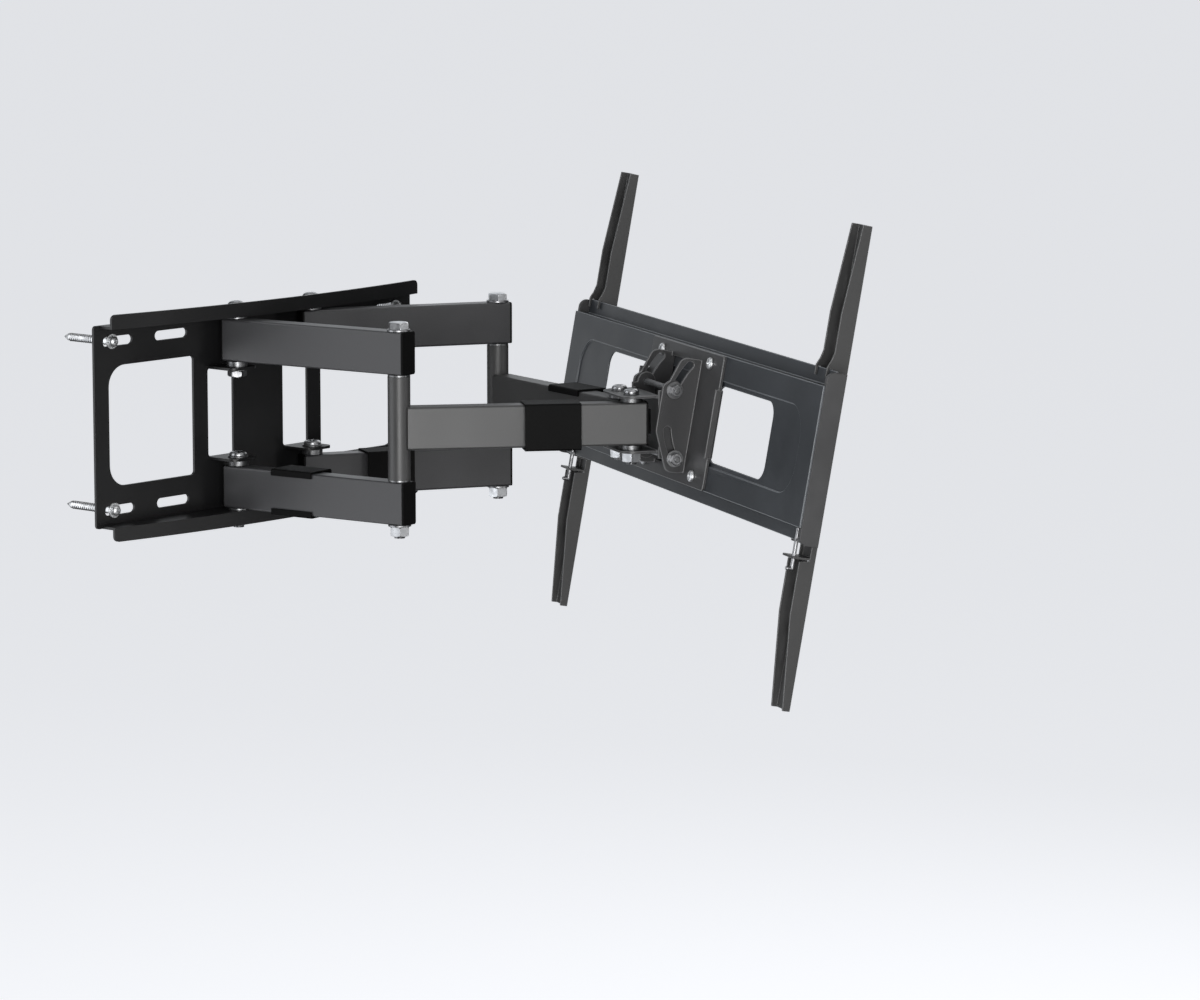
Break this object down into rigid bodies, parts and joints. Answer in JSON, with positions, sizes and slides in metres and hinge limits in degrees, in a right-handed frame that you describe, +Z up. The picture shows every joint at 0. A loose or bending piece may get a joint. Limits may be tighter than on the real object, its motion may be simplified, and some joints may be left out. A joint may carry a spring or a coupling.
{
  "type": "swivel tv wall mount",
  "caption": "Full-motion panel mount: folded wall plate, paired swing arms of steel tube, tilting head, slotted interface plate and hook-on rails with pull locks.",
  "frame": {"origin": "centre of the wall plate's back face, on the wall", "axes": "+X to the right for someone facing the wall, +Y into the wall, +Z up"},
  "size_m": [0.617, 0.7226, 0.4309],
  "materials": {
    "plate_black": "satin black powder coat",
    "tube_black": "satin black powder coat, lighter where it catches the light",
    "face_black": "satin black powder coat",
    "rail_black": "satin black powder coat",
    "head_black": "satin black powder coat",
    "clip_black": "moulded black plastic",
    "plug_black": "moulded black plastic",
    "zinc": "bright zinc plate"
  },
  "bodies": {
    "wall_frame": {"wall_plate": "plate_black", "wall_screws": "zinc", "wall_screw_washers": "zinc", "upper_pivot_bolts": "zinc", "lower_pivot_bolts": "zinc", "wall_pivot_nuts": "zinc", "wall_pivot_washers": "zinc"},
    "left_wall_arm": {"left_arm_upper_tube": "tube_black", "left_arm_lower_tube": "tube_black", "left_arm_end_plugs": "plug_black", "left_arm_spacers": "zinc", "left_elbow_bolt": "zinc", "left_elbow_nut": "zinc", "left_elbow_washers": "zinc", "left_arm_cable_clip": "clip_black"},
    "left_forearm_body": {"left_forearm": "tube_black", "left_forearm_end_plug": "plug_black", "left_forearm_cable_clip": "clip_black", "left_elbow_slip_washers": "zinc"},
    "right_wall_arm": {"right_arm_upper_tube": "tube_black", "right_arm_lower_tube": "tube_black", "right_arm_end_plugs": "plug_black", "right_arm_spacers": "zinc", "right_elbow_bolt": "zinc", "right_elbow_nut": "zinc", "right_elbow_washers": "zinc", "right_arm_cable_clip": "clip_black"},
    "right_forearm_body": {"right_forearm": "tube_black", "right_forearm_end_plug": "plug_black", "right_forearm_cable_clip": "clip_black", "right_elbow_slip_washers": "zinc"},
    "swivel_head": {"head_bracket": "head_black", "head_pivot_bolts": "zinc", "head_pivot_nuts": "zinc", "head_bushes": "zinc", "tilt_bolts": "zinc", "tilt_nuts": "zinc", "tilt_washers": "zinc"},
    "tilt_carrier_body": {"tilt_carrier": "head_black", "carrier_screws": "zinc", "interface_plate": "face_black", "left_end_cap": "plug_black", "right_end_cap": "plug_black"},
    "left_rail_body": {"left_rail": "rail_black"},
    "right_rail_body": {"right_rail": "rail_black"},
    "left_lock": {"left_lock_rod": "zinc"},
    "right_lock": {"right_lock_rod": "zinc"}
  },
  "joints": [
    {"name": "left_wall_pivot", "type": "hinge", "parent": "wall_frame", "child": "left_wall_arm", "pos_m": [-0.0505, -0.025, 0], "axis": [0, 0, 1], "range_deg": [-60, 0]},
    {"name": "left_elbow", "type": "hinge", "parent": "left_wall_arm", "child": "left_forearm_body", "pos_m": [-0.0287, -0.21314, 0], "axis": [0, 0, 1], "range_deg": [0, 34]},
    {"name": "left_head_pivot", "type": "hinge", "parent": "left_forearm_body", "child": "swivel_head", "pos_m": [0.13716, -0.354, 0], "axis": [0, 0, 1], "range_deg": [-92, 0]},
    {"name": "right_wall_pivot", "type": "hinge", "parent": "wall_frame", "child": "right_wall_arm", "pos_m": [0.0505, -0.025, 0], "axis": [0, 0, 1], "range_deg": [-59, 0]},
    {"name": "right_elbow", "type": "hinge", "parent": "right_wall_arm", "child": "right_forearm_body", "pos_m": [0.21633, -0.1165, 0], "axis": [0, 0, 1], "range_deg": [0, 30]},
    {"name": "tilt", "type": "hinge", "parent": "swivel_head", "child": "tilt_carrier_body", "pos_m": [0.23481, -0.39045, 0], "axis": [0.4894, 0.8721, 0], "range_deg": [-20, 0]},
    {"name": "left_rail_slide", "type": "slide", "parent": "tilt_carrier_body", "child": "left_rail_body", "axis": [0.4894, 0.8721, 0], "range_m": [-0.18, 0]},
    {"name": "right_rail_slide", "type": "slide", "parent": "tilt_carrier_body", "child": "right_rail_body", "axis": [0.4894, 0.8721, 0], "range_m": [-0.012, 0.168]},
    {"name": "left_lock_pull", "type": "slide", "parent": "left_rail_body", "child": "left_lock", "axis": [-0.1525, 0.0856, -0.9846], "range_m": [0, 0.0135]},
    {"name": "right_lock_pull", "type": "slide", "parent": "right_rail_body", "child": "right_lock", "axis": [-0.1525, 0.0856, -0.9846], "range_m": [0, 0.0135]}
  ],
  "couplings": [
    {"joint": "left_elbow", "follows": "left_wall_pivot", "ratio": -0.559},
    {"joint": "left_head_pivot", "follows": "left_wall_pivot", "ratio": 1.518},
    {"joint": "right_wall_pivot", "follows": "left_wall_pivot", "ratio": 0.979},
    {"joint": "right_elbow", "follows": "left_wall_pivot", "ratio": -0.489}
  ]
}
